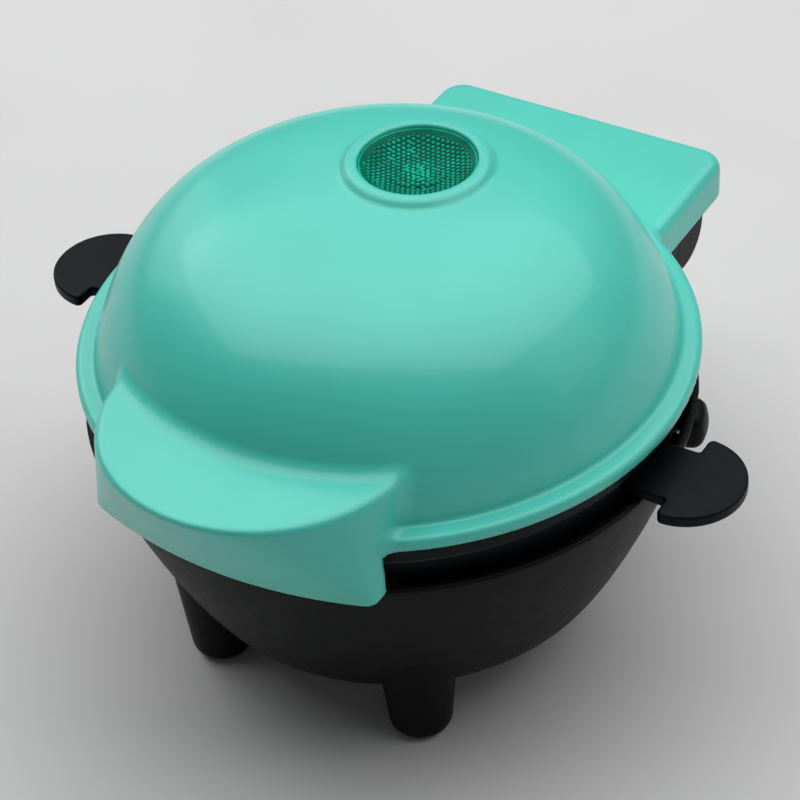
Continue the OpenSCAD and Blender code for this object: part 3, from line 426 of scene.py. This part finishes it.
def circuit_board():
    look = Look("circuit_board", 0.4, coat=0.3, coat_rough=0.2)
    wave = look.node("ShaderNodeTexWave", wave_type="BANDS", bands_direction="X")
    wave.inputs["Scale"].default_value = 60
    wave.inputs["Distortion"].default_value = 3
    look.link(look.place, wave.inputs["Vector"])
    track = look.span(wave.outputs["Fac"], 0.75, 0.85, 0, 1)
    body = look.ramp(look.noise(1.0, 4), [(0.3, linear((150, 118, 66))), (0.7, linear((176, 142, 84)))])
    look.colour(look.mix(track, body, linear((196, 132, 74))))
    look.rough(look.span(look.noise(0.6, 3), 0.3, 0.7, 0.34, 0.5))
    look.bump((track, 0.03), (look.noise(2.0, 3), 0.008))
    return look.material


def lamp_glass():
    look = Look("lamp_glass", 0.08, IOR=1.5)
    look.shader.inputs["Transmission Weight"].default_value = 0.6
    look.colour(look.ramp(look.noise(0.25, 3), [
        (0.3, linear((236, 128, 74))), (0.7, linear((250, 190, 130)))]))
    look.rough(look.span(look.noise(0.7, 3), 0.3, 0.7, 0.05, 0.14))
    look.bump((look.noise(0.6, 2), 0.01))
    return look.material


def glass_braid():
    """Woven sleeve: two sets of slanted threads."""
    look = Look("glass_braid", 0.75)
    threads = []
    for way in (35, -35):
        turn = look.node("ShaderNodeMapping")
        turn.inputs["Rotation"].default_value = (0.3, 0.2, math.radians(way))
        wave = look.node("ShaderNodeTexWave", wave_type="BANDS", bands_direction="DIAGONAL")
        wave.inputs["Scale"].default_value = 420
        look.link(look.place, turn.inputs["Vector"])
        look.link(turn.outputs["Vector"], wave.inputs["Vector"])
        threads.append(wave.outputs["Fac"])
    cross = look.node("ShaderNodeMath", operation="MAXIMUM")
    look.link(threads[0], cross.inputs[0])
    look.link(threads[1], cross.inputs[1])
    body = look.ramp(cross.outputs[0], [(0.2, linear((176, 168, 148))), (0.8, linear((230, 224, 206)))])
    look.colour(look.mix(look.span(look.noise(0.1, 3), 0.4, 0.7, 0, 0.4), body, linear((196, 182, 152))))
    look.rough(look.span(cross.outputs[0], 0, 1, 0.85, 0.65))
    look.bump((cross.outputs[0], 0.06))
    return look.material


def rubber():
    look = Look("foot_rubber", 0.85)
    body = look.ramp(look.noise(0.2, 5), [(0.3, linear((22, 22, 23))), (0.7, linear((38, 38, 39)))])
    dust = look.span(look.noise(1.4, 5), 0.6, 0.75, 0, 0.3)
    look.colour(look.mix(dust, body, linear((92, 90, 86))))
    look.rough(look.span(look.noise(0.6, 4), 0.3, 0.7, 0.75, 0.95))
    look.bump((look.noise(2.0, 5, rough=0.7), 0.05))
    return look.material


MATERIALS = {
    "mint_gloss": gloss_mint(),
    "green_lens": green_lens(),
    "white_plastic": white_plastic(),
    "black_plastic": satin_plastic("black_plastic", (6, 8, 11), 0.42, shine=0.13),
    "charcoal_plastic": satin_plastic("charcoal_plastic", (10, 10, 11), 0.44, shine=0.11),
    "nonstick": nonstick(),
    "bright_sheet": metal("bright_sheet", (188, 189, 192), 0.28, (1, 12, 1), stain=0.35),
    "zinc_steel": metal("zinc_steel", (172, 172, 168), 0.36, grain=2.2),
    "heater_sheath": heater_sheath(),
    "spring_steel": metal("spring_steel", (150, 152, 158), 0.22, (8, 1, 1)),
    "circuit_board": circuit_board(),
    "lamp_glass": lamp_glass(),
    "glass_braid": glass_braid(),
    "ceramic": ceramic(),
    "foot_rubber": rubber(),
}

# --- lid ----------------------------------------------------------------------------------------


def handle_reach_at(angle, height):
    """How far the handle reaches at an angle from straight out, at a height, and how much its wall leans."""
    out, side = np.cos(angle), np.abs(np.sin(angle))
    arc_r = SWEEP_R - CORNER_R
    half = HANDLE_HALF - CORNER_R
    corner_out = HANDLE_FOOT - SWEEP_R + math.sqrt(arc_r ** 2 - half ** 2)
    on_arc = side < half / arc_r
    foot = np.where(on_arc, (HANDLE_FOOT - SWEEP_R) * out + SWEEP_R,
                    half * side + corner_out * out + CORNER_R)
    top = (HANDLE_REACH - HANDLE_HALF) * out + HANDLE_HALF
    tall = HANDLE_TOP_Z - HANDLE_FOOT_Z
    lean = np.sqrt(1 + ((top - foot) / tall) ** 2)
    t = (height - HANDLE_FOOT_Z) / tall
    return foot + t * (top - foot), lean


def handle_wall(x, y, z):
    """Distance outside the handle's leaning wall, the largest over all directions to the front."""

    def outside(angle):
        reach, lean = handle_reach_at(angle, z)
        return (x * np.sin(angle) - y * np.cos(angle) - reach) / lean

    best, at = np.full(x.shape, -1e3), np.zeros(x.shape)
    for angle in np.radians(np.arange(-90, 90.1, 7.5)):
        d = outside(np.full(x.shape, angle))
        at = np.where(d > best, angle, at)
        best = np.maximum(d, best)
    width = math.radians(5)
    for _ in range(7):
        for way in (-1, 1):
            trial = np.clip(at + way * width, -math.pi / 2, math.pi / 2)
            d = outside(trial)
            at = np.where(d > best, trial, at)
            best = np.maximum(d, best)
        width /= 2
    return best


def handle(x, y, z, inset=0.0, edge=1.8):
    wall = handle_wall(x, y, z) + inset
    wall = np.maximum(wall, y + HANDLE_BACK)
    top = z - HANDLE_TOP_Z + inset
    return both(wall, top, edge)


def hood(x, y, z, inset=0.0, edge=3.0):
    middle = RIM_R
    plan = box2(x, y - middle, HOOD_HALF - inset, HOOD_REACH - middle - inset, HOOD_CORNER - inset)
    return both(plan, z - HOOD_TOP_Z + inset, edge)


def lid_shell(x, y, z):
    r = np.hypot(x, y)
    dome = bulge(r, z - DOME_Z, DOME_R, DOME_H, DOME_P, DOME_Q)
    rim = both(both(r - RIM_R, z - DOME_Z, 1.5), RIM_Z - z, 0.8)
    crown = either(dome, rim, 1.0)
    front = (y < -38) & (z < HANDLE_TOP_Z + 8)
    back = (y > 46) & (z < HOOD_TOP_Z + 8)
    grip = near(front, (x, y, z), handle)
    grip = both(grip, HANDLE_FOOT_Z - z, 0.8)
    block = near(back, (x, y, z), hood)
    block = both(block, HOOD_FOOT_Z - z, 0.9)
    ring_r = np.hypot(x, y - LENS_BACK)
    ring = both(both(ring_r - LENS_R - RING_W, z - DOME_TOP - RING_H, 1.5), DOME_TOP - 8 - z, 0.1)
    body = either(either(crown, grip, 2.6), block, 1.6)
    body = either(body, ring, 1.6)
    inner = bulge(r, z - DOME_Z, DOME_R - WALL, DOME_H - WALL, DOME_P, DOME_Q)
    hollow = np.minimum(np.maximum(inner, RIM_Z - 2 - z),
                        np.maximum(r - RIM_R + RIM_LIP, z - RIM_Z - RIM_H + WALL))
    hollow = np.minimum(hollow, np.maximum(r - RIM_R - 0.3, z - RIM_Z))
    grip_hollow = np.maximum(near(front, (x, y, z), lambda *p: handle(*p, WALL, 1.0)), -np.minimum(dome, rim))
    hood_hollow = np.maximum(near(back, (x, y, z), lambda *p: hood(*p, WALL, 1.0)), RIM_R - r)
    hollow = np.minimum(hollow, np.minimum(grip_hollow, hood_hollow))
    body = minus(body, hollow, 0.6)
    return minus(body, np.maximum(ring_r - LENS_R - SEAT_GAP, DOME_Z - z), 0.5)


moulded("lid_shell_skin", lid_shell, (-76.5, -92.5, 66), (76.5, 104.5, 122.5), 0.72,
        MATERIALS["mint_gloss"], "lid", ["lid_shell"])

# --- lens ---------------------------------------------------------------------------------------

LENS_TOP_Z = DOME_TOP + 0.9
BEAD_PITCH = 1.35


def lens(x, y, z):
    """A dish with rows of beads, a low arc that catches light at its front, and a flange below."""
    u, v = x, y - LENS_BACK
    r = np.hypot(u, v)
    row = v / (BEAD_PITCH * 0.866)
    shift = 0.5 * (np.floor(row + 0.5) % 2)
    du = (u / BEAD_PITCH + shift + 0.5) % 1 - 0.5
    dv = (row + 0.5) % 1 - 0.5
    bead = np.maximum(0, 0.25 - du ** 2 - 0.75 * dv ** 2) * 4
    fade = np.clip((LENS_R - 1.3 - r) / 0.8, 0, 1)
    glint = np.clip((0.55 * u - 0.84 * v) / np.maximum(r, 0.1), 0, 1) * np.exp(-((r - GLINT_R) / 0.7) ** 2)
    top = LENS_TOP_Z - LENS_DISH + LENS_DISH * (r / LENS_R) ** 4 + BEAD_H * bead * fade + GLINT_H * glint
    body = both(r - LENS_R, z - top, 0.35)
    low = DOME_TOP - LENS_BOTTOM
    body = np.maximum(body, low - z)
    flange = np.maximum(r - LENS_R - LENS_FLANGE, slab(z, low, low + LENS_FLANGE_T))
    return np.minimum(body, flange)


moulded("lens_skin", lens, (-16.4, 1.6, 114), (16.4, 34.4, 122), 0.24,
        MATERIALS["green_lens"], "lid", ["indicator_lens"])

# --- base ---------------------------------------------------------------------------------------


def at_button(x, y):
    """Radial and sideways distance as seen from the release button."""
    c, s = math.cos(math.radians(BUTTON_ANGLE)), math.sin(math.radians(BUTTON_ANGLE))
    return x * c + y * s, y * c - x * s


def tower(x, y, z):
    """The upright web that carries the barrel, seen from the side as a leaning wedge."""
    back = (y - PIN_REACH + BARREL_R * 0.72) * 0.8 - (z - PIN_Z + 2) * 0.6
    web = np.maximum(np.maximum(y - PIN_REACH, back), BOWL_R - 16 - y)
    web = np.maximum(web, z - (BOWL_Z - 1) - np.clip(y - PIN_REACH + 13, 0, 13) * 0.75)
    arm = np.maximum(web, np.abs(x) - BARREL_HALF)
    barrel_r = np.hypot(y - PIN_REACH, z - PIN_Z)
    barrel = both(barrel_r - BARREL_R, np.abs(x) - BARREL_HALF, 1.6)
    mid = (EAR_IN + EAR_OUT) / 2
    slot = np.maximum(np.abs(np.abs(x) - mid) - (EAR_OUT - EAR_IN) / 2 - MOVE_GAP, barrel_r - BARREL_R - 1.5)
    return minus(either(arm, barrel, 1.0), slot, 0.5)


def bowl_wall(r, z, inset):
    return bulge(np.maximum(r - FLOOR_R + inset, 0), BOWL_Z - z, BOWL_R - FLOOR_R, BOWL_Z - FLOOR_Z,
                 BOWL_P, BOWL_P)


def base_bowl(x, y, z):
    r = np.hypot(x, y)
    side = both(bowl_wall(r, z, 0.0), z - BOWL_Z, 0.9)
    side = either(side, near((y > 50) & (z > 30), (x, y, z), tower), 1.2)
    boss = np.maximum(np.hypot(x, z - GLAND_Z) - GLAND_BOSS_R,
                      slab(y, GLAND_END - GLAND_BOSS_LENGTH, GLAND_END))
    side = either(side, boss, 0.8)
    inner = np.maximum(bowl_wall(r, z, WALL), FLOOR_Z + WALL - z)
    inner = np.minimum(inner, np.maximum(r - BOWL_R + WALL, BOWL_Z - 2 - z))
    side = minus(side, inner, 0.5)
    side = minus(side, np.maximum(r - COVER_HOLE_R, z - FLOOR_Z - WALL - 1), 0.4)
    side = minus(side, np.maximum(np.hypot(x, z - GLAND_Z) - GLAND_HOLE_R, GLAND_END - 26 - y), 0.3)
    out, across = at_button(x, y)
    window = box2(across, z - BUTTON_Z, BUTTON_W / 2 + MOVE_GAP, BUTTON_H / 2 + MOVE_GAP, 3.0)
    return minus(side, np.maximum(window, CUT_FROM - out), 0.5)


moulded("base_bowl_skin", base_bowl, (-76, -76, 15), (76, 101, 77), 0.72,
        MATERIALS["charcoal_plastic"], "base", ["base_bowl"])


def foot(x, y, z):
    """A tapered foot with a round toe and a shallow pocket for its pad."""
    r = np.hypot(x, y)
    slope = (FOOT_TOP_R - FOOT_TIP_R) / (FOOT_TOP_Z - TOE_R - 0.4)
    wall = (r - FOOT_TIP_R - slope * (z - TOE_R - 0.4)) / math.hypot(1, slope)
    leg = both(wall, 0.4 - z, TOE_R)
    bowl = bowl_wall(np.hypot(x + FOOT_X, y + FOOT_Y), z, 0.0) + 0.7
    leg = minus(leg, np.maximum(r - PAD_R - SEAT_GAP, z - PAD_DEPTH), 0.3)
    return np.maximum(np.maximum(leg, z - FOOT_TOP_Z), -bowl)


for x_way, x_name in ((-1, "left"), (1, "right")):
    for y_way, y_name in ((-1, "front"), (1, "rear")):
        moulded(f"foot_{y_name}_{x_name}_skin",
                lambda x, y, z, i=x_way, j=y_way: foot(i * x - FOOT_X, j * y - FOOT_Y, z),
                (x_way * FOOT_X - 11, y_way * FOOT_Y - 11, -0.5),
                (x_way * FOOT_X + 11, y_way * FOOT_Y + 11, FOOT_TOP_Z + 1),
                0.6, MATERIALS["charcoal_plastic"], "base", [f"foot_{y_name}_{x_name}"])


def release_button(x, y, z):
    """A round-faced lug on a stem, with a round groove for the spring at its back."""
    out, across = at_button(x, y)
    rise = z - BUTTON_Z
    lug = box2(across, rise, BUTTON_W / 2, BUTTON_H / 2, 2.8)
    face = out - BUTTON_FACE + 0.04 * across ** 2 + 0.06 * rise ** 2
    lug = both(np.maximum(lug, BUTTON_FACE - BUTTON_DEPTH - out), face, 1.6)
    stem_r = np.hypot(across, rise)
    stem = np.maximum(stem_r - STEM_R, slab(out, STEM_IN, BUTTON_FACE - 2))
    groove = np.maximum(np.maximum(STEM_R + 0.05 - stem_r, stem_r - STEM_R - 1.6), out - BUTTON_FACE + 2.6)
    return np.minimum(np.maximum(lug, -groove), stem)


moulded("release_button_skin", release_button, (50, 14, BUTTON_Z - 6), (76, 34, BUTTON_Z + 6), 0.4,
        MATERIALS["black_plastic"], "button", ["release_button"])


def grip(x, y, z, low):
    """A half-moon finger grip on a narrower neck, for the right-hand side."""
    v = y + GRIP_FRONT
    moon = both(np.hypot(x - GRIP_REACH + GRIP_R, v) - GRIP_R, GRIP_REACH - GRIP_R - 0.5 - x, 1.6)
    neck = np.maximum(np.abs(v) - GRIP_NECK, slab(x, PLATE_R + 0.6, GRIP_REACH - GRIP_R + 2))
    plan = either(moon, neck, 0.8)
    middle = low + GRIP_T / 2
    tab = both(plan, np.abs(z - middle) - GRIP_T / 2, 0.7)
    slot = np.maximum(np.abs(v) - 6.1, np.maximum(np.abs(z - middle) - 0.85, x - RIB_R - 14.1))
    return np.maximum(tab, -slot)


for way, side_name, low, body in ((-1, "left", UPPER_GRIP_Z, "lid"), (1, "right", LOWER_GRIP_Z, "base")):
    moulded(f"grip_{side_name}_skin", lambda x, y, z, i=way, low=low: grip(i * x, y, z, low),
            (min(way * 69, way * 97), -19, low - 1), (max(way * 69, way * 97), 13.5, low + 4.4), 0.4,
            MATERIALS["black_plastic"], body, [f"grip_{side_name}"])

# --- CAD nodes that keep their shape ------------------------------------------------------------

slots = {part["node"]: part["material_slot"] for part in frame["record"]["subparts"]}
BEVELS = {"lid_frame": 0.5, "base_frame": 0.5, "upper_plate": 0.35, "lower_plate": 0.35, "bottom_cover": 0.5,
          "lid_hinge_bracket": 0.5, "cord_gland": 0.6, "terminal_block": 0.4,
          "lamp_cup": 0.3, "foot_pads": 0.3, "hinge_pin": 0.3}
for node, obj in frame["nodes"].items():
    mesh = obj.data
    mesh.materials.clear()
    mesh.materials.append(MATERIALS[slots[node]])
    mesh.polygons.foreach_set("use_smooth", np.ones(len(mesh.polygons), bool))
    mesh.set_sharp_from_angle(angle=math.radians(28))
    if node in BEVELS:
        bevel = obj.modifiers.new("soft_edges", "BEVEL")
        bevel.width = BEVELS[node] * MM
        bevel.segments = 3
        bevel.limit_method = "ANGLE"
        bevel.angle_limit = math.radians(40)
        bevel.harden_normals = True

# --- camera, floor and light --------------------------------------------------------------------

AZIMUTH, ELEVATION, ROLL = math.radians(33.3), math.radians(39.57), math.radians(-4.06)
DISTANCE, FOCAL = 657 * MM, 2684 / 800 * 36
SIDEWAYS, AIM_Z = 1.775 * MM, 60.55 * MM

back = Vector((math.sin(AZIMUTH) * math.cos(ELEVATION), -math.cos(AZIMUTH) * math.cos(ELEVATION),
               math.sin(ELEVATION)))
level = Vector((math.cos(AZIMUTH), math.sin(AZIMUTH), 0))
upright = back.cross(level)
right = level * math.cos(ROLL) + upright * math.sin(ROLL)
up = upright * math.cos(ROLL) - level * math.sin(ROLL)
aim = level * SIDEWAYS + Vector((0, AXIS_Y * MM, AIM_Z))
camera_data = bpy.data.cameras.new("camera")
camera_data.lens = FOCAL
camera_data.sensor_width = 36
camera = bpy.data.objects.new("camera", camera_data)
turn = Matrix((right, up, back)).transposed().to_4x4()
camera.matrix_world = Matrix.Translation(aim + back * DISTANCE) @ turn
bpy.context.scene.collection.objects.link(camera)
bpy.context.scene.camera = camera

floor_mesh = bpy.data.meshes.new("floor")
FLOOR_HALF = 4.0
floor_mesh.from_pydata([(-FLOOR_HALF, -FLOOR_HALF, 0), (FLOOR_HALF, -FLOOR_HALF, 0),
                        (FLOOR_HALF, FLOOR_HALF, 0), (-FLOOR_HALF, FLOOR_HALF, 0)], [], [(0, 1, 2, 3)])
floor = bpy.data.objects.new("floor", floor_mesh)
bpy.context.scene.collection.objects.link(floor)
paper = Look("pale_floor", 0.9)
paper.colour(paper.ramp(paper.noise(0.01, 3), [
    (0.3, linear((216, 216, 216))), (0.7, linear((221, 221, 221)))]))
floor_mesh.materials.append(paper.material)


def softbox(name, place, size, power, target=(0, 0, 0.07)):
    """A rectangular light aimed at the object."""
    data = bpy.data.lights.new(name, "AREA")
    data.shape = "RECTANGLE"
    data.size, data.size_y = size
    data.energy = power
    light = bpy.data.objects.new(name, data)
    light.location = place
    light.rotation_euler = (Vector(target) - Vector(place)).to_track_quat("-Z", "Y").to_euler()
    bpy.context.scene.collection.objects.link(light)


softbox("top_light", (-0.1, 0.32, 1.2), (2.6, 1.7), 25)
softbox("left_light", (-1.3, 0.5, 0.7), (0.9, 0.8), 2.2)
softbox("right_light", (1.3, 0.6, 0.7), (0.9, 0.8), 1.6)
world = bpy.data.worlds.new("studio")
world.use_nodes = True
world.node_tree.nodes["Background"].inputs["Color"].default_value = (1, 1, 1, 1)
world.node_tree.nodes["Background"].inputs["Strength"].default_value = 0.1
bpy.context.scene.world = world
bpy.context.scene.view_settings.view_transform = "Standard"
